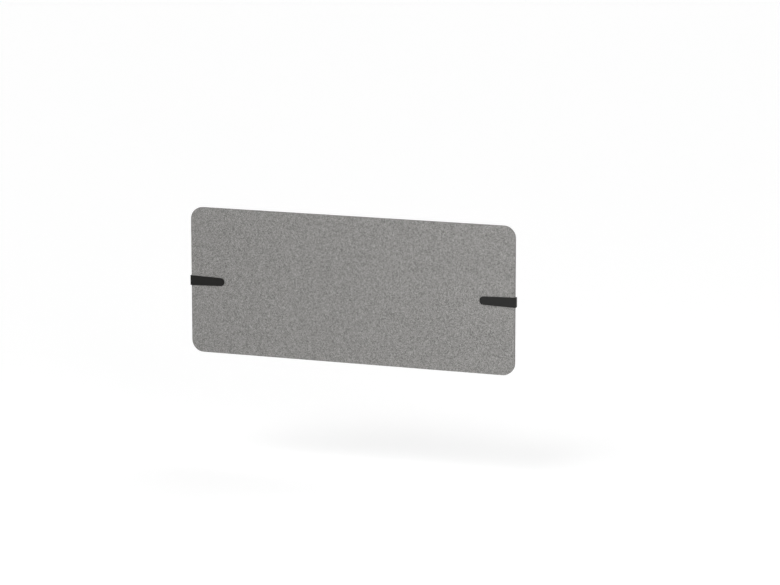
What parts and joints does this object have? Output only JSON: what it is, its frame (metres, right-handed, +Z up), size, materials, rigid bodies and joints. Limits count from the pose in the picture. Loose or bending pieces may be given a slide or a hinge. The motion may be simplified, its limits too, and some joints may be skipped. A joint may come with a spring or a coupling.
{
  "type": "acoustic divider screen",
  "caption": "Felt divider and modesty screen with round corners, held at its side edges by black steel straps with tabs that screw up under a desk top.",
  "frame": {"origin": "centre of the four tab holes, on the plane of the tabs' top faces", "axes": "+X along the board, +Z up, -Y towards the face that carries the straps"},
  "size_m": [1.41, 0.095, 0.6],
  "materials": {
    "felt": "matte",
    "felt_core": "matte",
    "black_steel": "matte",
    "zinc_steel": "satin",
    "black_screw": "satin"
  },
  "bodies": {
    "root": {"front_felt": "felt", "core_board": "felt_core", "rear_felt": "felt", "left_strap": "black_steel", "left_rear_plate": "black_steel", "left_tab": "black_steel", "left_standoff_inner": "zinc_steel", "left_screw_inner": "black_screw", "left_washer_inner": "black_screw", "left_standoff_outer": "zinc_steel", "left_screw_outer": "black_screw", "left_washer_outer": "black_screw", "right_strap": "black_steel", "right_rear_plate": "black_steel", "right_tab": "black_steel", "right_standoff_inner": "zinc_steel", "right_screw_inner": "black_screw", "right_washer_inner": "black_screw", "right_standoff_outer": "zinc_steel", "right_screw_outer": "black_screw", "right_washer_outer": "black_screw"}
  },
  "joints": []
}
